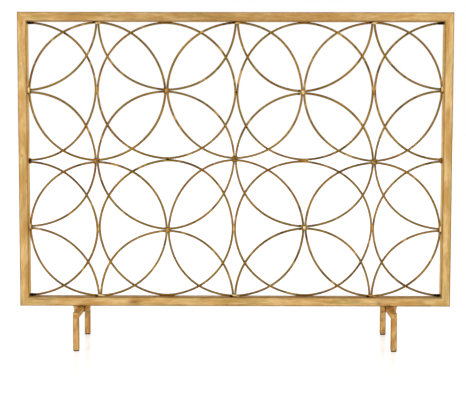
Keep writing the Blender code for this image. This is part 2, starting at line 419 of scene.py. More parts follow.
# Bronzed steel: a warm chemical brown that still shines like metal.
BRONZED_STEEL = PlainFinish("bronzed_steel", "a47e4a", "6e5230", 0.95, (0.3, 0.5), 1.2)
# Bare zinc-grey steel, hidden inside the tube.
PLAIN_STEEL = PlainFinish("bare_steel", "9a958c", "6f6a62", 1.0, (0.35, 0.55), 1.5)


# ------------------------------------------------------------------------------- shape trees


class ShapeTree:
    """A geometry tree with named inputs, which can be grown into plain mesh pieces."""

    SOCKETS = {"float": "NodeSocketFloat", "int": "NodeSocketInt", "bool": "NodeSocketBool",
               "vector": "NodeSocketVector", "material": "NodeSocketMaterial",
               "geometry": "NodeSocketGeometry"}

    def __init__(self, name: str, sizes: dict[str, str]) -> None:
        """Start a tree with its inputs.

        Args:
            name: The tree's name.
            sizes: For each named input, a key of SOCKETS.
        """
        self.tree = bpy.data.node_groups.new(name, "GeometryNodeTree")
        self.tree.interface.new_socket("Geometry", in_out="OUTPUT", socket_type="NodeSocketGeometry")
        for label, kind in sizes.items():
            self.tree.interface.new_socket(label, in_out="INPUT", socket_type=self.SOCKETS[kind])
        self.inlet = self.tree.nodes.new("NodeGroupInput")

    def add(self, kind: str, links: dict | None = None, **settings: object) -> bpy.types.Node:
        """Add a node to this tree, as add_node does."""
        return add_node(self.tree, kind, links, **settings)

    def given(self, label: str) -> bpy.types.NodeSocket:
        """Return the socket of a named input."""
        return self.inlet.outputs[label]

    def roughen(self, shape: bpy.types.Node, relief: bpy.types.NodeSocket,
                grain_mm: float, shared: bool = False) -> bpy.types.Node:
        """Push a mesh in and out along its normals by noise.

        Args:
            shape: Node whose geometry is roughened.
            relief: Socket with the height between the lowest and the highest point, in metres.
            grain_mm: Size of the bumps.
            shared: Whether pieces that meet share one pattern, so that no step shows.

        Returns:
            The node with the roughened geometry.
        """
        offset = (0.0, 0.0, 0.0) if shared else self.given("Seed")
        spot = self.add("ShaderNodeVectorMath", {
            0: self.add("GeometryNodeInputPosition"), 1: offset}, operation="ADD")
        noise = self.add("ShaderNodeTexNoise", {
            "Vector": spot, "Scale": 1.0 / (grain_mm * MM), "Detail": 2.0})
        centred = self.add("ShaderNodeMath", {0: noise, 1: 0.5}, operation="SUBTRACT")
        height = self.add("ShaderNodeMath", {0: centred, 1: relief}, operation="MULTIPLY")
        push = self.add("ShaderNodeVectorMath", {
            "Vector": self.add("GeometryNodeInputNormal"), "Scale": height}, operation="SCALE")
        return self.add("GeometryNodeSetPosition", {"Geometry": shape, "Offset": push})

    def end(self, shape: bpy.types.Node, crisp_rims: bool = False) -> None:
        """Close the tree: shade smooth, realize, set the material.

        Args:
            shape: Node with the finished geometry.
            crisp_rims: Whether an open skin's rims stay sharp, for the wall that comes later.
        """
        smooth = self.add("GeometryNodeSetShadeSmooth", {"Geometry": shape})
        if crisp_rims:
            faces = self.add("GeometryNodeInputMeshEdgeNeighbors")
            on_rim = self.add("FunctionNodeCompare", {0: faces, 1: 1}, data_type="INT",
                              operation="EQUAL")
            smooth = self.add("GeometryNodeSetShadeSmooth", {
                "Geometry": smooth, "Selection": on_rim, "Shade Smooth": False}, domain="EDGE")
        real = self.add("GeometryNodeRealizeInstances", {"Geometry": smooth})
        dressed = self.add("GeometryNodeSetMaterial", {
            "Geometry": real, "Material": self.given("Material")})
        outlet = self.tree.nodes.new("NodeGroupOutput")
        self.tree.links.new(dressed.outputs[0], outlet.inputs[0])

    def grow(self, name: str, values: dict[str, object],
             source: bpy.types.Mesh | None = None) -> bpy.types.Object:
        """Run the tree and keep its result as a plain mesh.

        Args:
            name: Name of the piece.
            values: A value for each named input.
            source: Mesh that the tree starts from, where it needs one.

        Returns:
            The piece, at the origin, with no modifier on it.
        """
        seedling = bpy.data.objects.new(name + "_seedling", source or bpy.data.meshes.new(name))
        bpy.context.scene.collection.objects.link(seedling)
        growth = seedling.modifiers.new("growth", "NODES")
        growth.node_group = self.tree
        for item in self.tree.interface.items_tree:
            if item.in_out == "INPUT" and item.name in values:
                growth[item.identifier] = values[item.name]
        graph = bpy.context.evaluated_depsgraph_get()
        mesh = bpy.data.meshes.new_from_object(
            seedling.evaluated_get(graph), preserve_all_data_layers=True, depsgraph=graph)
        bpy.data.objects.remove(seedling)
        mesh.name = name
        piece = bpy.data.objects.new(name, mesh)
        bpy.context.scene.collection.objects.link(piece)
        return piece


class RodTree(ShapeTree):
    """A round rod bent to a ring or to an arc, upright in the plane of the screen."""

    GRAIN_MM = 3.0
    WANDER_SPAN_MM = 90.0
    PROFILE_SIDES = 14
    PULL_SHARPNESS = 16.0   # the higher, the shorter the stretch that a joint pulls out

    def __init__(self) -> None:
        """Build the tree."""
        super().__init__("bent_rod", {
            "Ring Radius": "float", "Rod Radius": "float", "Start": "float", "Sweep": "float",
            "Closed": "bool", "Segments": "int", "Pull": "float", "Wander": "float",
            "Relief": "float", "Centre": "vector", "Seed": "vector", "Material": "material"})
        arc = self.add("GeometryNodeCurveArc", {
            "Resolution": self.given("Segments"), "Radius": self.given("Ring Radius"),
            "Start Angle": self.given("Start"), "Sweep Angle": self.given("Sweep")})
        ring = self.add("GeometryNodeCurvePrimitiveCircle", {
            "Resolution": self.given("Segments"), "Radius": self.given("Ring Radius")})
        path = self.add("GeometryNodeSwitch", {
            "Switch": self.given("Closed"), "False": arc, "True": ring}, input_type="GEOMETRY")
        bent = self._bend(path)
        profile = self.add("GeometryNodeCurvePrimitiveCircle", {
            "Resolution": self.PROFILE_SIDES, "Radius": self.given("Rod Radius")})
        rod = self.add("GeometryNodeCurveToMesh", {
            "Curve": bent, "Profile Curve": profile, "Fill Caps": True})
        upright = self.add("GeometryNodeTransform", {
            "Geometry": rod, "Translation": self.given("Centre"),
            "Rotation": (math.pi / 2, 0.0, 0.0)})
        self.end(self.roughen(upright, self.given("Relief"), self.GRAIN_MM))

    def _bend(self, path: bpy.types.Node) -> bpy.types.Node:
        """Pull the rod out to its four joints, and let it wander as hand bending leaves it.

        Args:
            path: Node with the rod's centre line, flat in the XY plane.

        Returns:
            The node with the strayed centre line.
        """
        spot = self.add("ShaderNodeVectorMath", {
            0: self.add("GeometryNodeInputPosition"), 1: self.given("Seed")}, operation="ADD")
        noise = self.add("ShaderNodeTexNoise", {
            "Vector": spot, "Scale": 1.0 / (self.WANDER_SPAN_MM * MM), "Detail": 0.0})
        centred = self.add("ShaderNodeVectorMath", {
            0: noise.outputs["Color"], 1: (0.5, 0.5, 0.5)}, operation="SUBTRACT")
        flat = self.add("ShaderNodeVectorMath", {0: centred, 1: (1.0, 1.0, 0.0)},
                        operation="MULTIPLY")
        stray = self.add("ShaderNodeVectorMath", {
            "Vector": flat, "Scale": self.given("Wander")}, operation="SCALE")
        out = self.add("ShaderNodeVectorMath", {0: self.add("GeometryNodeInputPosition")},
                       operation="NORMALIZE")
        parts = self.add("ShaderNodeSeparateXYZ", {0: out})
        squares = [self.add("ShaderNodeMath", {0: parts.outputs[axis], 1: 2.0}, operation="POWER")
                   for axis in ("X", "Y")]
        lean = self.add("ShaderNodeMath", {0: squares[0], 1: squares[1]}, operation="SUBTRACT")
        nearness = self.add("ShaderNodeMath", {0: lean, 1: self.PULL_SHARPNESS},
                            operation="POWER")
        reach = self.add("ShaderNodeMath", {0: nearness, 1: self.given("Pull")},
                         operation="MULTIPLY")
        pulled = self.add("ShaderNodeVectorMath", {"Vector": out, "Scale": reach},
                          operation="SCALE")
        both = self.add("ShaderNodeVectorMath", {0: stray, 1: pulled}, operation="ADD")
        return self.add("GeometryNodeSetPosition", {"Geometry": path, "Offset": both})


class TubeTree(ShapeTree):
    """The skin of a rectangular tube with rounded edges and mitred ends, its outer side up."""

    GRAIN_MM = 22.0
    ROUNDING_FACETS = 3
    SIDE_CUTS = 4
    INNER_PATINA_AND_SHADE_START = -0.46     # height in shares of the face, where the painted shade and patina on the inner side begin
    INNER_PATINA_AND_SHADE_FULL = -0.49      # and where it has its full strength

    def __init__(self) -> None:
        """Build the tree."""
        super().__init__("mitred_tube", {
            "Length": "float", "Face": "float", "Depth": "float", "Edge Radius": "float",
            "Step": "float", "Relief": "float", "Inner Patina And Shade": "float", "Centre": "vector",
            "Turn": "vector", "Seed": "vector", "Material": "material"})
        half = self.add("ShaderNodeMath", {0: self.given("Length"), 1: 0.5}, operation="MULTIPLY")
        far = self.add("ShaderNodeCombineXYZ", {"X": half})
        near = self.add("ShaderNodeVectorMath", {"Vector": far, "Scale": -1.0}, operation="SCALE")
        line = self.add("GeometryNodeCurvePrimitiveLine", {"Start": near, "End": far})
        path = self.add("GeometryNodeResampleCurve", {
            "Curve": line, "Length": self.given("Step")}, mode="LENGTH")
        outline = self.add("GeometryNodeCurvePrimitiveQuadrilateral", {
            "Width": self.given("Depth"), "Height": self.given("Face")})
        rounded = self.add("GeometryNodeFilletCurve", {
            "Curve": outline, "Count": self.ROUNDING_FACETS,
            "Radius": self.given("Edge Radius")}, mode="POLY")
        fine = self.add("GeometryNodeSubdivideCurve", {
            "Curve": rounded, "Cuts": self.SIDE_CUTS})
        skin = self.add("GeometryNodeCurveToMesh", {
            "Curve": path, "Profile Curve": fine, "Fill Caps": False})
        marked = self._mark(skin)
        mitred = self._mitre(marked, half)
        placed = self.add("GeometryNodeTransform", {
            "Geometry": mitred, "Translation": self.given("Centre"),
            "Rotation": self.given("Turn")})
        rough = self.roughen(placed, self.given("Relief"), self.GRAIN_MM, shared=True)
        self.end(rough, crisp_rims=True)

    def _mark(self, skin: bpy.types.Node) -> bpy.types.Node:
        """Store each point's place along the tube, its nearness to an edge, and the painted shade
        with patina on its inner side.

        Args:
            skin: Node with the straight skin, its axis along X.

        Returns:
            The node with the marked skin.
        """
        place = self.add("GeometryNodeInputPosition")
        spot = self.add("ShaderNodeVectorMath", {0: place, 1: self.given("Seed")}, operation="ADD")
        laid = self.add("GeometryNodeStoreNamedAttribute", {
            "Geometry": skin, "Name": LAY, "Value": spot}, data_type="FLOAT_VECTOR")
        parts = self.add("ShaderNodeSeparateXYZ", {0: place})
        shares = []
        for part, size in ((parts.outputs["Y"], "Depth"), (parts.outputs["Z"], "Face")):
            away = self.add("ShaderNodeMath", {0: part}, operation="ABSOLUTE")
            double = self.add("ShaderNodeMath", {0: away, 1: 2.0}, operation="MULTIPLY")
            shares.append(self.add("ShaderNodeMath", {0: double, 1: self.given(size)},
                                   operation="DIVIDE"))
        edge = self.add("ShaderNodeMath", {0: shares[0], 1: shares[1]}, operation="MINIMUM")
        # Painted shade, with some patina, on the inner side, the side towards the grille.
        lowness = self.add("ShaderNodeMath", {0: parts.outputs["Z"], 1: self.given("Face")},
                           operation="DIVIDE")
        inside = self.add("ShaderNodeMapRange", {
            "Value": lowness, "From Min": self.INNER_PATINA_AND_SHADE_START, "From Max": self.INNER_PATINA_AND_SHADE_FULL,
            "To Min": 0.0, "To Max": self.given("Inner Patina And Shade")})
        ground_and_shade = self.add("ShaderNodeMath", {0: edge, 1: inside}, operation="MAXIMUM")
        return self.add("GeometryNodeStoreNamedAttribute", {
            "Geometry": laid, "Name": EDGE, "Value": ground_and_shade}, data_type="FLOAT")

    def _mitre(self, skin: bpy.types.Node, half: bpy.types.Node) -> bpy.types.Node:
        """Draw the inner side in, evenly along the tube, until the ends are at 45 degrees.

        Args:
            skin: Node with the straight skin.
            half: Node with half the tube's length.

        Returns:
            The node with the mitred skin.
        """
        parts = self.add("ShaderNodeSeparateXYZ", {0: self.add("GeometryNodeInputPosition")})
        reach = self.add("ShaderNodeMath", {0: self.given("Face"), 1: 0.5}, operation="MULTIPLY")
        below = self.add("ShaderNodeMath", {0: reach, 1: parts.outputs["Z"]}, operation="SUBTRACT")
        share = self.add("ShaderNodeMath", {0: below, 1: half}, operation="DIVIDE")
        drawn = self.add("ShaderNodeMath", {0: share, 1: parts.outputs["X"]}, operation="MULTIPLY")
        back = self.add("ShaderNodeMath", {0: drawn, 1: -1.0}, operation="MULTIPLY")
        shift = self.add("ShaderNodeCombineXYZ", {"X": back})
        return self.add("GeometryNodeSetPosition", {"Geometry": skin, "Offset": shift})


class BarTree(ShapeTree):
    """A length of square bar along X, finely divided, with one end that can slope in."""

    GRAIN_MM = 9.0

    def __init__(self) -> None:
        """Build the tree."""
        super().__init__("square_bar", {
            "Size": "vector", "Cuts Along": "int", "Cuts Across": "int", "Taper": "float",
            "Relief": "float", "Centre": "vector", "Turn": "vector", "Seed": "vector",
            "Material": "material"})
        bar = self.add("GeometryNodeMeshCube", {
            "Size": self.given("Size"), "Vertices X": self.given("Cuts Along"),
            "Vertices Y": self.given("Cuts Across"), "Vertices Z": self.given("Cuts Across")})
        place = self.add("GeometryNodeInputPosition")
        spot = self.add("ShaderNodeVectorMath", {0: place, 1: self.given("Seed")}, operation="ADD")
        laid = self.add("GeometryNodeStoreNamedAttribute", {
            "Geometry": bar, "Name": LAY, "Value": spot}, data_type="FLOAT_VECTOR")
        share = self.add("ShaderNodeSeparateXYZ", {0: self.add("ShaderNodeVectorMath", {
            0: place, 1: self.given("Size")}, operation="DIVIDE")})
        away = [self.add("ShaderNodeMath", {0: share.outputs[axis]}, operation="ABSOLUTE")
                for axis in ("Y", "Z")]
        least = self.add("ShaderNodeMath", {0: away[0], 1: away[1]}, operation="MINIMUM")
        edge = self.add("ShaderNodeMath", {0: least, 1: 2.0}, operation="MULTIPLY")
        marked = self.add("GeometryNodeStoreNamedAttribute", {
            "Geometry": laid, "Name": EDGE, "Value": edge}, data_type="FLOAT")
        outward = self.add("ShaderNodeMath", {0: share.outputs["X"], 1: 0.5}, operation="ADD")
        down = self.add("ShaderNodeMath", {0: 0.5, 1: share.outputs["Z"]}, operation="SUBTRACT")
        slope = self.add("ShaderNodeMath", {0: outward, 1: down}, operation="MULTIPLY")
        drawn = self.add("ShaderNodeMath", {0: slope, 1: self.given("Taper")},
                         operation="MULTIPLY")
        back = self.add("ShaderNodeMath", {0: drawn, 1: -1.0}, operation="MULTIPLY")
        tapered = self.add("GeometryNodeSetPosition", {
            "Geometry": marked, "Offset": self.add("ShaderNodeCombineXYZ", {"X": back})})
        rough = self.roughen(tapered, self.given("Relief"), self.GRAIN_MM)
        placed = self.add("GeometryNodeTransform", {
            "Geometry": rough, "Translation": self.given("Centre"),
            "Rotation": self.given("Turn")})
        self.end(placed)


class BeadTree(ShapeTree):
    """A lump of weld at every point of a mesh, sized and turned by the points' attributes."""

    GRAIN_MM = 3.5

    def __init__(self) -> None:
        """Build the tree."""
        super().__init__("weld_beads", {
            "Points": "geometry", "Finesse": "int", "Relief": "float", "Seed": "vector",
            "Material": "material"})
        lump = self.add("GeometryNodeMeshIcoSphere", {
            "Radius": 1.0, "Subdivisions": self.given("Finesse")})
        half_sizes = self.add("GeometryNodeInputNamedAttribute", {"Name": "half_sizes"},
                              data_type="FLOAT_VECTOR")
        turn = self.add("GeometryNodeInputNamedAttribute", {"Name": "turn"},
                        data_type="FLOAT_VECTOR")
        beads = self.add("GeometryNodeInstanceOnPoints", {
            "Points": self.given("Points"), "Instance": lump, "Rotation": turn,
            "Scale": half_sizes})
        real = self.add("GeometryNodeRealizeInstances", {"Geometry": beads})
        self.end(self.roughen(real, self.given("Relief"), self.GRAIN_MM))


# ------------------------------------------------------------------------- measures of the frame


class Reach(Enum):
    """How much of a ring lies inside the frame."""

    FULL = "ring"
    HALF = "half_ring"
    QUARTER = "arc"


@dataclass(frozen=True)
class RingSeat:
    """Where one ring of the grille lies.

    Attributes:
        node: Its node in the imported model.
        column: Lattice column of its centre, counted from the left.
        row: Lattice row of its centre, counted from the top.
        depth: Y of the rod's centre line, in metres.
        reach: How much of the ring there is.
    """

    node: str
    column: int
    row: int
    depth: float
    reach: Reach


@dataclass(frozen=True)
class Lattice:
    """The square lattice that the rings' centres sit on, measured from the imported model.

    Attributes:
        pitch: Distance from one lattice point to the next.
        left: X of column 0.
        top: Z of row 0.
        ring_radius: Radius of a ring's centre line.
        rod_radius: Radius of the rod.
        columns: Number of the last column.
        rows: Number of the last row.
        seats: Every ring, in a fixed order.
        stray: How far hand fitting and welding draw a joint off the true lattice, at most.
        across_wave: The drift across, as a wave: its turn for each column, its turn for each
            row and its start, in radians.
        up_wave: The drift up, in the same way.
    """

    pitch: float
    left: float
    top: float
    ring_radius: float
    rod_radius: float
    columns: int
    rows: int
    seats: tuple[RingSeat, ...]
    stray: float = 3.0 * MM
    across_wave: tuple[float, float, float] = (2.3, 1.1, 0.6)
    up_wave: tuple[float, float, float] = (1.4, -2.1, 2.0)

    @classmethod
    def measured(cls) -> Lattice:
        """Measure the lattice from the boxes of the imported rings.

        Returns:
            The lattice with all its rings.
        """
        low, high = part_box("front_ring_row1_col1")
        next_low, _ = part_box("front_ring_row1_col3")
        pitch = (next_low[0] - low[0]) / 2
        rod_radius = (high[1] - low[1]) / 2
        ring_radius = (high[0] - low[0]) / 2 - rod_radius
        seats = []
        for node in sorted(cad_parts):
            match = re.fullmatch(r"[a-z]+_(ring|half_ring|arc)_row(\d)_col(\d)", node)
            if match:
                box_low, box_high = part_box(node)
                seats.append(RingSeat(node, int(match[3]), int(match[2]),
                                      (box_low[1] + box_high[1]) / 2, Reach(match[1])))
        return cls(pitch=pitch, left=(low[0] + high[0]) / 2 - pitch,
                   top=(low[2] + high[2]) / 2 + pitch, ring_radius=ring_radius,
                   rod_radius=rod_radius, columns=max(seat.column for seat in seats),
                   rows=max(seat.row for seat in seats), seats=tuple(seats))

    def spot(self, column: float, row: float) -> tuple[float, float]:
        """Return X and Z of a place given in lattice steps."""
        return self.left + column * self.pitch, self.top - row * self.pitch

    def drawn(self, x: float, z: float) -> tuple[float, float]:
        """Work out where hand fitting leaves a place, with ends still on the rails and stiles.

        Args:
            x: Place across.
            z: Height.

        Returns:
            The drawn place's X and Z.
        """
        column, row = (x - self.left) / self.pitch, (self.top - z) / self.pitch
        across, up = (math.sin(by_column * column + by_row * row + start)
                      for by_column, by_row, start in (self.across_wave, self.up_wave))
        across_room = max(0.0, min(1.0, column, self.columns - column))
        up_room = max(0.0, min(1.0, row, self.rows - row))
        return x + self.stray * across_room * across, z + self.stray * up_room * up

    def layer(self, name: str) -> float:
        """Return the Y of the front, middle or back layer of rods."""
        return next(seat.depth for seat in self.seats if seat.node.startswith(name))


def finish_piece(piece: bpy.types.Object, slot: str, *nodes: str) -> bpy.types.Object:
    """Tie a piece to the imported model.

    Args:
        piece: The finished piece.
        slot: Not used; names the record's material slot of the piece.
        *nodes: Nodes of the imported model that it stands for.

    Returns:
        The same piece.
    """
    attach(piece, BODY)
    if nodes:
        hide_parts(*nodes)
    log.info("%s: %d faces", piece.name, len(piece.data.polygons))
    return piece


def seed_of(name: str) -> tuple[float, float, float]:
    """Return an offset for noise that is fixed by a piece's name."""
    total = sum((place + 1) * ord(letter) for place, letter in enumerate(name))
    return (total % 97 * 1.31, total % 89 * 1.73, total % 83 * 2.17)


# --------------------------------------------------------------------------------- the screen


@dataclass(frozen=True)
class SmudgeAndShade:
    """A dark patch on the front of a tube. Most are hand-rubbed brown marks; the broad one on the top
    rail is painted shade.

    Attributes:
        node: Tube that it is on.
        along: Place along the tube, from 0 (left or bottom) to 1 (right or top).
        across: Place across the tube, from -1 (inner edge) to 1 (outer edge).
        half_length_mm: Half its length.
        half_width_mm: Half its width.
        strength: Share of dark ground in its middle.
    """

    node: str
    along: float
    across: float
    half_length_mm: float
    half_width_mm: float
    strength: float


@dataclass
class OuterFrame:
    """The frame round the grille: four tubes with mitred ends, gilded over their ground welds.

    Attributes:
        tree: Tree that makes a tube's skin.
        finish: Its gilding.
        wall: Thickness of the tube's wall.
        edge_radius: Rounding of its long edges.
        step: Length of one facet along it.
        relief: Height of the leaf's unevenness.
        rail_inner_patina_and_shade: How dark the rails' inner sides are, as painted shade with some
            patina.
        stile_inner_patina_and_shade: How dark the stiles' inner sides are, in the same way.
        smudges_and_shade: Dark patches on the front: hand-rubbed brown marks, and one broad patch of
            painted shade along the top rail.
    """

    tree: TubeTree
    finish: bpy.types.Material
    wall: float = 1.5 * MM
    edge_radius: float = 1.4 * MM
    step: float = 4.0 * MM
    relief: float = 0.18 * MM
    # Painted shade, with some patina, on the tubes' inner sides: stronger on the rails than on the
    # stiles.
    rail_inner_patina_and_shade: float = 0.80
    stile_inner_patina_and_shade: float = 0.5
    smudges_and_shade: tuple[SmudgeAndShade, ...] = (
        # Painted shade: the whole top rail's front made darker, for how light falls on it.
        SmudgeAndShade("top_rail", 0.45, 0.0, 420.0, 20.0, 0.34),
        SmudgeAndShade("top_rail", 0.12, 0.45, 34.0, 3.0, 0.60),
        SmudgeAndShade("top_rail", 0.40, -0.1, 30.0, 3.5, 0.30),
        SmudgeAndShade("top_rail", 0.51, 0.2, 36.0, 4.0, 0.30),
        SmudgeAndShade("top_rail", 0.76, 0.1, 14.0, 5.0, 0.25),
        SmudgeAndShade("bottom_rail", 0.055, -0.45, 22.0, 3.0, 0.70),
        SmudgeAndShade("bottom_rail", 0.265, 0.05, 13.0, 3.2, 0.85),
        SmudgeAndShade("bottom_rail", 0.54, 0.0, 12.0, 5.0, 0.15),
        SmudgeAndShade("bottom_rail", 0.785, 0.0, 11.0, 4.0, 0.20),
        SmudgeAndShade("bottom_rail", 0.835, 0.35, 5.0, 5.0, 0.70),
        SmudgeAndShade("bottom_rail", 0.93, 0.0, 8.0, 4.0, 0.35),
        SmudgeAndShade("left_stile", 0.30, -0.4, 90.0, 3.0, 0.25),
        SmudgeAndShade("right_stile", 0.45, 0.3, 70.0, 3.0, 0.25),
        SmudgeAndShade("right_stile", 0.66, 0.0, 10.0, 6.0, 0.30))

    def build(self) -> None:
        """Make the four tubes."""
        for turns, node in enumerate(("top_rail", "right_stile", "bottom_rail", "left_stile")):
            low, high = (Vector(corner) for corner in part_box(node))
            size = high - low
            is_rail = turns % 2 == 0
            length, face = (size.x, size.z) if is_rail else (size.z, size.x)
            tube = self.tree.grow("gilded_" + node, {
                "Length": length, "Face": face, "Depth": size.y,
                "Edge Radius": self.edge_radius, "Step": self.step, "Relief": self.relief,
                "Inner Patina And Shade": self.rail_inner_patina_and_shade if is_rail else self.stile_inner_patina_and_shade,
                "Centre": (low + high) / 2, "Turn": (0.0, turns * math.pi / 2, 0.0),
                "Seed": seed_of(node), "Material": self.finish})
            self._lay_smudges_and_shade(tube.data, node, is_rail, low, high)
            shell = tube.modifiers.new("wall", "SOLIDIFY")
            shell.thickness = self.wall
            shell.offset = -1.0
            finish_piece(tube, "gilded_tube", node)

    def _lay_smudges_and_shade(self, mesh: bpy.types.Mesh, node: str, is_rail: bool,
                     low: Vector, high: Vector) -> None:
        """Store how strongly the dark patches show at each point of a tube's front: rubbed marks, and
        painted shade along the top rail.

        Args:
            mesh: The tube's skin.
            node: The tube's node.
            is_rail: Whether it lies level.
            low: Lowest corner of its box.
            high: Highest corner of its box.
        """
        middle, half = (low + high) / 2, (high - low) / 2
        outward = 1.0 if node in ("top_rail", "right_stile") else -1.0
        levels = []
        for vertex in mesh.vertices:
            along, across = (vertex.co.x, vertex.co.z) if is_rail else (vertex.co.z, vertex.co.x)
            level = 0.0
            for smudge_and_shade in self.smudges_and_shade:
                if smudge_and_shade.node != node or vertex.co.y > middle.y - half.y + self.edge_radius:
                    continue
                start, span = (low.x, 2 * half.x) if is_rail else (low.z, 2 * half.z)
                centre, reach = (middle.z, half.z) if is_rail else (middle.x, half.x)
                away = (along - start - smudge_and_shade.along * span) / (smudge_and_shade.half_length_mm * MM)
                aside = (across - centre - outward * smudge_and_shade.across * reach) / (
                    smudge_and_shade.half_width_mm * MM)
                level = max(level, smudge_and_shade.strength * math.exp(-away * away - aside * aside))
            levels.append(level)
        mesh.attributes.new(SMUDGE_AND_SHADE, "FLOAT", "POINT").data.foreach_set("value", levels)


@dataclass
class Grille:
    """The grille of overlapping rings, with the welds that hold it together.

    Attributes:
        lattice: Where the rings lie.
        rods: Tree that makes a bent rod.
        beads: Tree that makes weld beads.
        rod_finish: Gilding of the rods.
        weld_finish: Finish of the welds.
        segments: Facets round a full ring.
        wander: How far a rod strays from its true circle.
        relief: Height of the leaf's unevenness.
        end_reach: How far a rod's end runs on past its packed end, to meet the tube.
        weld_relief: Height of the unevenness of a bead.
        fine_beads: With more beads than this in a piece, each one has fewer facets.
    """

    lattice: Lattice
    rods: RodTree
    beads: BeadTree
    rod_finish: bpy.types.Material
    weld_finish: bpy.types.Material
    segments: int = 168
    wander: float = 0.5 * MM
    relief: float = 0.12 * MM
    end_reach: float = 0.6 * MM
    weld_relief: float = 0.7 * MM
    fine_beads: int = 59

    def build(self) -> None:
        """Make every rod, then the welds."""
        for seat in self.lattice.seats:
            self._bend(seat)
        self._weld()

    def _bend(self, seat: RingSeat) -> None:
        """Bend one ring, half ring or corner arc.

        Args:
            seat: Where it lies.
        """
        lattice = self.lattice
        x, z = lattice.spot(seat.column, seat.row)
        start, end = self._span(seat)
        share = (end - start) / (2 * math.pi)
        rod = self.rods.grow("gilded_" + seat.node, {
            "Ring Radius": lattice.ring_radius, "Rod Radius": lattice.rod_radius,
            "Start": start, "Sweep": end - start, "Closed": seat.reach is Reach.FULL,
            "Segments": max(8, round(self.segments * share)), "Wander": self.wander,
            "Relief": self.relief, "Centre": (x, seat.depth, z), "Seed": seed_of(seat.node),
            "Pull": lattice.pitch - lattice.ring_radius - lattice.rod_radius,
            "Material": self.rod_finish})
        for vertex in rod.data.vertices:
            vertex.co.x, vertex.co.z = lattice.drawn(vertex.co.x, vertex.co.z)
        finish_piece(rod, "gilded_rod", seat.node)

    def _span(self, seat: RingSeat) -> tuple[float, float]:
        """Work out between which angles a rod runs, from +X towards +Z.

        Args:
            seat: Where the ring lies.

        Returns:
            The start and the end angle.
        """
        if seat.reach is Reach.FULL:
            return 0.0, 2 * math.pi
        lattice = self.lattice
        low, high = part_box(seat.node)
        x, z = lattice.spot(seat.column, seat.row)
        along_x = {0: 1, lattice.columns: -1}.get(seat.column, 0)
        along_z = {0: -1, lattice.rows: 1}.get(seat.row, 0)
        middle = math.atan2(along_z, along_x)
        half_sweep = math.pi / 4 if along_x and along_z else math.pi / 2
        past_x = (x - low[0]) if along_x > 0 else (high[0] - x)
        past_z = (z - low[2]) if along_z > 0 else (high[2] - z)
        ends = []
        for side in (-1, 1):
            angle = middle + side * half_sweep
            at_stile = along_x and abs(math.cos(angle)) < 0.5
            past = (past_x if at_stile else past_z) + self.end_reach
            ends.append(angle + side * past / lattice.ring_radius)
        return ends[0], ends[1]

    def _weld(self) -> None:
        """Make the weld beads, in one piece for each kind of joint."""
        welds = WeldMap(self.lattice)
        for name, beads in (("node_welds", welds.at_nodes()), ("side_welds", welds.at_sides()),
                            ("crossing_welds", welds.at_crossings()),
                            ("rail_welds", welds.at_rails()), ("stile_welds", welds.at_stiles()),
                            ("corner_welds", welds.at_corners())):
            piece = self.beads.grow(name, {
                "Finesse": 4 if len(beads) <= self.fine_beads else 3, "Relief": self.weld_relief,
                "Seed": seed_of(name), "Material": self.weld_finish}, bead_points(name, beads))
            finish_piece(piece, "gilded_rod")


@dataclass(frozen=True)
class Bead:
    """One lump of weld.

    Attributes:
        place: Its middle.
        half_sizes: Half its length, depth and height, before it is turned.
        turn: Its turn about Y, in radians.
        tone: Its brightness, from near black (0) to gilded (1).
    """

    place: tuple[float, float, float]
    half_sizes: tuple[float, float, float]
    turn: float
    tone: float


class BeadSize(Enum):
    """Half the length, depth and thickness of each kind of bead, in millimetres."""

    NODE_LUMP = (6.2, 4.8, 5.2)
    NODE_FILLET = (3.2, 3.8, 3.0)
    NODE_SIDE_DARK_SPOT = (3.4, 2.7, 2.7)
    NODE_FRONT_SHADE = (4.2, 1.6, 1.3)
    FRONT_WEB = (2.6, 5.6, 2.2)
    MIDDLE_WEB = (2.5, 3.4, 2.5)
    RAIL_LUMP = (6.0, 3.0, 3.0)
    RAIL_DARK_SPOT = (4.0, 2.2, 1.9)
    RAIL_FILLET = (2.9, 2.9, 3.4)
    STILE_LUMP = (7.5, 3.2, 3.0)
    STILE_DARK_SPOT = (3.4, 2.7, 2.3)
    STILE_FILLET = (3.4, 2.8, 2.8)
    PAIR_LUMP = (6.5, 3.2, 3.4)
    CORNER_LUMP = (4.8, 3.6, 3.4)
    CORNER_RUN = (5.6, 3.0, 2.7)
    LUG_TOP = (3.4, 1.6, 1.5)
    LUG_SIDE = (1.5, 1.5, 3.6)

    @property
    def metres(self) -> tuple[float, ...]:
        """Return the three sizes in metres."""
        return tuple(half * MM for half in self.value)


def bead_points(name: str, beads: list[Bead]) -> bpy.types.Mesh:
    """Put beads down as the points of a mesh.

    Args:
        name: Name of the mesh.
        beads: The beads.

    Returns:
        A mesh of loose points with the attributes that BeadTree reads.
    """
    mesh = bpy.data.meshes.new(name + "_points")
    mesh.from_pydata([bead.place for bead in beads], [], [])
    half_sizes = mesh.attributes.new("half_sizes", "FLOAT_VECTOR", "POINT")
    half_sizes.data.foreach_set("vector", [part for bead in beads for part in bead.half_sizes])
    turn = mesh.attributes.new("turn", "FLOAT_VECTOR", "POINT")
    turn.data.foreach_set("vector", [part for bead in beads for part in (0.0, bead.turn, 0.0)])
    tone = mesh.attributes.new(TONE, "FLOAT", "POINT")
    tone.data.foreach_set("value", [bead.tone for bead in beads])
    return mesh


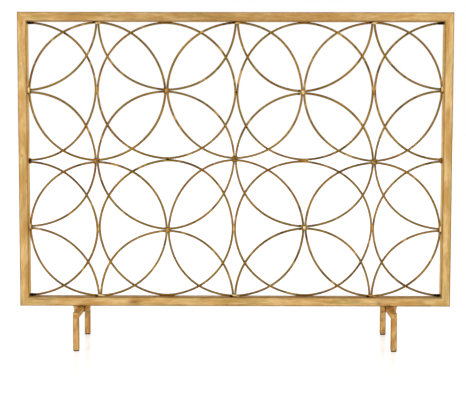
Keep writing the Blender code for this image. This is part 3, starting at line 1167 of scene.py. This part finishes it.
@dataclass
class WeldMap:
    """Works out where the grille is welded, and how each weld looks.

    The keys are a joint's column and row on the lattice. Tones run from 0 (near black) to 1 (pale
    gold).

    Attributes:
        lattice: Where the rings lie.
        node_tones: Welds where four rods pass.
        side_runs: Welds between two rods of the back layer: half the length in mm, and the tone.
        touch_runs: Welds between a back ring and a rail: half the length in mm, and the tone.
        end_tones: Welds on a rail or stile round two rods' ends and a front ring.
        pair_tones: Welds on a stile round the ends of two back half rings.
        corner_tone: Welds in the frame's inner corners.
    """

    lattice: Lattice
    node_tones: dict[tuple[int, int], float] = field(default_factory=lambda: {
        (2, 1): 0.66, (4, 1): 0.98, (1, 2): 0.76, (3, 2): 0.62, (5, 2): 0.86,
        (2, 3): 0.70, (4, 3): 0.92})
    side_runs: dict[tuple[int, int], tuple[float, float]] = field(default_factory=lambda: {
        (1, 1): (9.0, 0.84), (3, 1): (2.0, 0.05), (5, 1): (9.0, 0.74), (2, 2): (3.5, 0.10),
        (4, 2): (11.0, 0.58), (1, 3): (9.0, 0.86), (3, 3): (9.0, 0.90), (5, 3): (9.0, 0.80)})
    touch_runs: dict[tuple[int, int], tuple[float, float]] = field(default_factory=lambda: {
        (2, 0): (15.0, 0.38), (4, 0): (13.0, 0.44), (2, 4): (17.0, 0.42), (4, 4): (8.0, 0.26)})
    end_tones: dict[tuple[int, int], float] = field(default_factory=lambda: {
        (1, 0): 0.86, (3, 0): 0.80, (5, 0): 0.96, (1, 4): 0.96, (3, 4): 0.88, (5, 4): 0.80,
        (0, 1): 1.0, (0, 3): 0.85, (6, 1): 0.92, (6, 3): 1.0})
    pair_tones: dict[tuple[int, int], float] = field(default_factory=lambda: {
        (0, 2): 0.25, (6, 2): 0.50})
    corner_tone: float = 0.0

    def _bead(self, column: float, row: float, depth: float, offset_mm: tuple[float, float],
              size: BeadSize | tuple[float, float, float], tone: float,
              upright: bool = False) -> Bead:
        """Make a bead near a place on the lattice.

        Args:
            column: Place across, in lattice steps.
            row: Place down, in lattice steps.
            depth: Y of its middle.
            offset_mm: How far it lies to the right of that place and above it.
            size: Its kind's size, or half its length, depth and thickness in mm.
            tone: Its brightness.
            upright: Whether its length stands up.

        Returns:
            The bead, drawn as hand fitting leaves its place.
        """
        x, z = self.lattice.spot(column, row)
        x, z = self.lattice.drawn(x + offset_mm[0] * MM, z + offset_mm[1] * MM)
        half_sizes = size.metres if isinstance(size, BeadSize) else tuple(s * MM for s in size)
        return Bead((x, depth, z), half_sizes, math.pi / 2 if upright else 0.0, tone)

    @staticmethod
    def _inward(column: int, row: int) -> tuple[float, float]:
        """Return the ways into the frame from a joint on its edge: 1 is to the right, or up."""
        return (1.0 if column == 0 else -1.0), (-1.0 if row == 0 else 1.0)

    def at_nodes(self) -> list[Bead]:
        """Beads where four rods pass: a lump in front, fillets between, dark spots beside the
        brightest upright ones, and a patch of painted shade in the slot of each level one.

        Returns:
            All the beads of these joints.
        """
        front, middle = self.lattice.layer("front"), self.lattice.layer("middle")
        beads = []
        for (column, row), tone in self.node_tones.items():
            upright = row % 2 == 1
            beads.append(self._bead(column, row, (front + middle) / 2 - 1.0 * MM, (0.0, 0.0),
                                    BeadSize.NODE_LUMP, tone, upright))
            for side_x in (-1, 1):
                for side_z in (-1, 1):
                    beads.append(self._bead(
                        column, row, (front + middle) / 2, (side_x * 3.8, side_z * 3.8),
                        BeadSize.NODE_FILLET, tone - 0.06 + 0.08 * side_x))
            if upright and tone > 0.9:
                for side_z in (-1, 1):
                    beads.append(self._bead(column, row, middle, (-9.0, side_z * 3.3),
                                            BeadSize.NODE_SIDE_DARK_SPOT, 0.10))
            # Painted shade: a dark patch in front of a level node, in the slot between its paired
            # rods.
            if not upright:
                beads.append(self._bead(column, row, front - 4.4 * MM, (1.4, 0.2),
                                        BeadSize.NODE_FRONT_SHADE, 0.10))
        return beads

    def at_sides(self) -> list[Bead]:
        """Beads in the narrow gap where two rings of the back layer pass side by side."""
        back = self.lattice.layer("back")
        return [self._bead(column, row, back - (1.8 * MM if tone < 0.2 else 0.0), (0.0, 0.0),
                           (run, 2.3, 2.1), tone, row % 2 == 1)
                for (column, row), (run, tone) in self.side_runs.items()]

    def at_crossings(self) -> list[Bead]:
        """Beads where a rod of one layer crosses a rod of another.

        Returns:
            One small web for each crossing.
        """
        lattice = self.lattice
        rise = math.sqrt((lattice.ring_radius / lattice.pitch) ** 2 - 0.25)
        front, middle, back = (lattice.layer(name) for name in ("front", "middle", "back"))
        beads = []
        for column in range(lattice.columns):
            for row in range(1, lattice.rows, 2):
                for side in (-1, 1):
                    tone = 0.35 + 0.13 * ((column * 3 + row * 2 + side) % 5)
                    beads.append(self._bead(column + 0.5, row + side * rise, (front + back) / 2,
                                            (0.0, 0.0), BeadSize.FRONT_WEB, tone))
        for column in range(0, lattice.columns + 1, 2):
            for row in range(lattice.rows):
                for side in (-1, 1):
                    across = column + side * rise
                    if 0 < across < lattice.columns:
                        tone = 0.35 + 0.13 * ((column + row * 3 + side) % 5)
                        beads.append(self._bead(across, row + 0.5, (middle + back) / 2,
                                                (0.0, 0.0), BeadSize.MIDDLE_WEB, tone))
        return beads

    def at_rails(self) -> list[Bead]:
        """Beads on the rails: long runs under back rings, lumps and dark spots at rods' ends.

        Returns:
            All the beads of these joints.
        """
        lattice = self.lattice
        front, middle, back = (lattice.layer(name) for name in ("front", "middle", "back"))
        beads = []
        for (column, row), (run, tone) in self.touch_runs.items():
            _, inward = self._inward(column, row)
            beads.append(self._bead(column, row, back - 0.6 * MM, (0.0, inward * 0.9),
                                    (run, 3.2, 2.1), tone))
        for (column, row), tone in self.end_tones.items():
            if row not in (0, lattice.rows):
                continue
            _, inward = self._inward(column, row)
            run = 9.0 if row == 0 else 15.0
            beads.append(self._bead(column, row, front, (2.0, inward * 1.6), (run, 2.9, 2.4), tone))
            beads.append(self._bead(column, row, front - 1.0 * MM, (0.5, inward * 3.0),
                                    BeadSize.RAIL_LUMP, tone))
            beads.append(self._bead(column, row, front - 2.2 * MM, (-6.5, inward * 1.8),
                                    BeadSize.RAIL_DARK_SPOT, 0.06))
            for side in (-1, 1):
                beads.append(self._bead(column, row, middle, (side * 3.0, inward * 3.0),
                                        BeadSize.RAIL_FILLET, tone - 0.05))
        return beads

    def at_stiles(self) -> list[Bead]:
        """Beads on the stiles: bright lumps and dark spots at rods' ends.

        Returns:
            All the beads of these joints.
        """
        lattice = self.lattice
        front, middle, back = (lattice.layer(name) for name in ("front", "middle", "back"))
        beads = []
        for (column, row), tone in self.end_tones.items():
            if column not in (0, lattice.columns):
                continue
            inward, _ = self._inward(column, row)
            beads.append(self._bead(column, row, front - 1.4 * MM, (inward * 0.6, 2.5),
                                    BeadSize.STILE_LUMP, tone, True))
            beads.append(self._bead(column, row, front, (inward * 1.5, -5.5),
                                    BeadSize.STILE_DARK_SPOT, 0.12, True))
            for side in (-1, 1):
                beads.append(self._bead(column, row, middle, (inward * 3.5, side * 3.0),
                                        BeadSize.STILE_FILLET, 0.35))
        for (column, row), tone in self.pair_tones.items():
            inward, _ = self._inward(column, row)
            beads.append(self._bead(column, row, back - 0.8 * MM, (inward * 1.0, 0.0),
                                    BeadSize.PAIR_LUMP, tone, True))
        return beads

    def at_corners(self) -> list[Bead]:
        """Near-black beads in the frame's inner corners, round the ends of back half rings.

        Returns:
            Two beads for each corner.
        """
        lattice = self.lattice
        back = lattice.layer("back")
        beads = []
        for column in (0, lattice.columns):
            for row in (0, lattice.rows):
                right, higher = self._inward(column, row)
                beads.append(self._bead(column, row, back - 1.0 * MM,
                                        (right * 2.5, higher * 2.6), BeadSize.CORNER_LUMP,
                                        self.corner_tone))
                beads.append(self._bead(column, row, back - 0.5 * MM,
                                        (right * 8.0, higher * 3.0), BeadSize.CORNER_RUN,
                                        self.corner_tone + 0.04))
        return beads


@dataclass
class Leg:
    """One bridge-shaped leg: a bar across, two posts, two screw lugs and their welds.

    Attributes:
        side: "left" or "right".
        bars: Tree that makes a square bar.
        beads: Tree that makes weld beads.
        finish: Gilding of the bars.
        weld_finish: Finish of the welds.
        edge: Rounding of a bar's edges.
        relief: Height of the leaf's unevenness.
        lap: How far a post runs up into the top bar, where the weld is ground flush.
        lug_slope: How far a lug's end slopes in towards its underside.
        facet: Length of one facet along a bar.
    """

    side: str
    bars: BarTree
    beads: BeadTree
    finish: bpy.types.Material
    weld_finish: bpy.types.Material
    edge: float = 0.9 * MM
    relief: float = 0.25 * MM
    lap: float = 1.2 * MM
    lug_slope: float = 2.5 * MM
    facet: float = 4.0 * MM

    def build(self) -> None:
        """Make the leg's pieces."""
        quarter = math.pi / 2
        self._bar("top_bar", (0.0, 0.0, quarter))
        self._bar("front_post", (0.0, quarter, 0.0))
        self._bar("rear_post", (0.0, quarter, 0.0))
        outward = -1 if self.side == "left" else 1
        for lug, way in (("outer_lug", outward), ("inner_lug", -outward)):
            self._bar(lug, (0.0, 0.0, 0.0 if way > 0 else math.pi), taper=self.lug_slope)
        self._weld()

    def _weld(self) -> None:
        """Make the beads between the lugs and the top bar; close under the rail they are dark, as
        painted shadow of the rail.
        """
        beads = []
        # Painted shadow of the rail: the top beads darkest, the inner lug's more than the outer's,
        # the lower ones lighter.
        for lug, tone in (("outer_lug", 0.30), ("inner_lug", 0.08)):
            low, high = (Vector(corner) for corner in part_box(f"{self.side}_leg_{lug}"))
            bar_low, bar_high = (Vector(corner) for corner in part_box(f"{self.side}_leg_top_bar"))
            seam = bar_low.x if low.x < bar_low.x else bar_high.x
            beads.append(Bead((seam, low.y, high.z - 1.8 * MM), BeadSize.LUG_TOP.metres, 0.0, tone))
            beads.append(Bead((seam, low.y, low.z + 2.0 * MM), BeadSize.LUG_SIDE.metres, 0.0,
                              tone + 0.3))
        name = f"{self.side}_leg_welds"
        piece = self.beads.grow(name, {
            "Finesse": 4, "Relief": 0.5 * MM, "Seed": seed_of(name),
            "Material": self.weld_finish}, bead_points(name, beads))
        finish_piece(piece, "gilded_bar")

    def _bar(self, part: str, turn: tuple[float, float, float], taper: float = 0.0) -> None:
        """Make one bar in the place of its node.

        Args:
            part: The node's name without the leg's.
            turn: Rotation that brings X to the bar's length.
            taper: How far its far end slopes in towards the underside.
        """
        node = f"{self.side}_leg_{part}"
        low, high = (Vector(corner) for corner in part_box(node))
        size = high - low
        if turn[1]:
            size = Vector((size.z + self.lap, size.y, size.x))
            high.z += self.lap
        elif turn[2] and not taper:
            size = Vector((size.y, size.x, size.z))
        bar = self.bars.grow("gilded_" + node, {
            "Size": size, "Cuts Along": max(5, round(size.x / self.facet)), "Cuts Across": 5,
            "Taper": taper, "Relief": self.relief, "Centre": (low + high) / 2, "Turn": turn,
            "Seed": seed_of(node), "Material": self.finish})
        rounding = bar.modifiers.new("rounding", "BEVEL")
        rounding.width = self.edge
        rounding.segments = 2
        rounding.angle_limit = math.radians(50)
        finish_piece(bar, "gilded_bar", node)


def dress_node(node: str, material: bpy.types.Material) -> None:
    """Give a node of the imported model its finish.

    Args:
        node: The node, whose shape stays as it is.
        material: Its finish.
    """
    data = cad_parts[node].data
    data.materials.clear()
    data.materials.append(material)
    log.info("%s: dressed in %s", node, material.name)


# --------------------------------------------------------------------------------- the studio


@dataclass(frozen=True)
class SoftBox:
    """A square lamp.

    Attributes:
        name: Its name.
        place: Its middle.
        side: Length of its side.
        power: Its power in watts.
    """

    name: str
    place: tuple[float, float, float]
    side: float
    power: float


@dataclass
class Studio:
    """A white floor, soft light and the camera.

    Attributes:
        sensor_mm: Width of the camera's sensor.
        lens_mm: Its focal length.
        eye: Place of the camera.
        pitch: Its tilt, in degrees, up from level.
        yaw: Its turn to the left, in degrees.
        roll: Its roll, in degrees.
        wall_glow: Brightness of the room's walls.
        ceiling_glow: Brightness of its ceiling.
        floor_glow: Brightness that the floor has of its own, so that it stays white.
        lamps: The soft boxes.
        aim: The place that they light.
    """

    sensor_mm: float = 36.0
    lens_mm: float = 92.8584
    eye: tuple[float, float, float] = (0.0073, -2.660, 0.5169)
    pitch: float = -4.265
    yaw: float = 0.262
    roll: float = 0.083
    wall_glow: float = 1.3
    ceiling_glow: float = 0.5
    floor_glow: float = 0.38
    lamps: tuple[SoftBox, ...] = (
        SoftBox("key", (-1.8, -2.4, 2.6), 1.6, 22.0), SoftBox("fill", (2.2, -2.0, 1.8), 1.8, 10.0))
    aim: tuple[float, float, float] = (0.0, 0.0, 0.35)

    def build(self) -> None:
        """Set up the floor, the light and the camera."""
        self._floor()
        self._light()
        self._camera()

    def _camera(self) -> None:
        """Place the camera."""
        data = bpy.data.cameras.new("camera")
        data.sensor_width = self.sensor_mm
        data.lens = self.lens_mm
        data.clip_end = 100.0
        camera = bpy.data.objects.new("camera", data)
        turn = (Matrix.Rotation(math.radians(self.yaw), 4, "Z")
                @ Matrix.Rotation(math.radians(90.0 + self.pitch), 4, "X")
                @ Matrix.Rotation(math.radians(self.roll), 4, "Z"))
        camera.matrix_world = Matrix.Translation(self.eye) @ turn
        bpy.context.scene.collection.objects.link(camera)
        bpy.context.scene.camera = camera

    def _floor(self) -> None:
        """Lay a white, faintly glossy floor."""
        bm = bmesh.new()
        bmesh.ops.create_grid(bm, x_segments=2, y_segments=2, size=20.0)
        mesh = bpy.data.meshes.new("floor")
        bm.to_mesh(mesh)
        bm.free()
        floor = bpy.data.objects.new("floor", mesh)
        bpy.context.scene.collection.objects.link(floor)
        material, tree, shader = start_material("white_floor")
        plug(tree, shader, {
            "Base Color": (0.86, 0.86, 0.86, 1.0), "Roughness": 0.25, "Specular IOR Level": 0.1,
            "Emission Color": (1.0, 1.0, 1.0, 1.0), "Emission Strength": self.floor_glow})
        mesh.materials.append(material)

    def _light(self) -> None:
        """Hang two soft boxes in a white room."""
        world = bpy.data.worlds.new("white_room")
        world.use_nodes = True
        tree = world.node_tree
        sky = tree.nodes["Background"]
        sky.inputs["Color"].default_value = (1.0, 1.0, 1.0, 1.0)
        height = add_node(tree, "ShaderNodeSeparateXYZ", {0: add_node(tree, "ShaderNodeTexCoord")})
        glow = add_node(tree, "ShaderNodeMapRange", {
            "Value": height.outputs["Z"], "From Min": 0.05, "From Max": 0.8,
            "To Min": self.wall_glow, "To Max": self.ceiling_glow})
        seen = add_node(tree, "ShaderNodeLightPath").outputs["Is Camera Ray"]
        level = add_node(tree, "ShaderNodeMix", {"Factor": seen, "A": glow, "B": 1.0},
                         data_type="FLOAT")
        tree.links.new(level.outputs[0], sky.inputs["Strength"])
        bpy.context.scene.world = world
        for box in self.lamps:
            data = bpy.data.lights.new(box.name, "AREA")
            data.shape = "SQUARE"
            data.size = box.side
            data.energy = box.power
            lamp = bpy.data.objects.new(box.name, data)
            lamp.location = box.place
            way = Vector(self.aim) - Vector(box.place)
            lamp.rotation_euler = way.to_track_quat("-Z", "Y").to_euler()
            bpy.context.scene.collection.objects.link(lamp)
        bpy.context.scene.view_settings.view_transform = "Standard"


def main() -> None:
    """Build the studio, the frame, the grille and the legs, in that order."""
    logging.basicConfig(level=logging.INFO, format="%(name)s: %(message)s")
    Studio().build()
    rod_finish = GILDED_ROD.material()
    tube_finish = GILDED_TUBE.material()
    bar_finish = GILDED_BAR.material()
    weld_finish = WeldFinish().material()
    rubber = FOOT_RUBBER.material()
    bronze = BRONZED_STEEL.material()
    steel = PLAIN_STEEL.material()
    beads = BeadTree()
    OuterFrame(TubeTree(), tube_finish).build()
    Grille(Lattice.measured(), RodTree(), beads, rod_finish, weld_finish).build()
    bars = BarTree()
    for side in ("left", "right"):
        Leg(side, bars, beads, bar_finish, weld_finish).build()
    for node in sorted(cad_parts):
        for ending, material in (("_nut", steel), ("_screw", bronze), ("_pad", rubber)):
            if node.endswith(ending):
                dress_node(node, material)


if __name__ == "__main__":
    main()
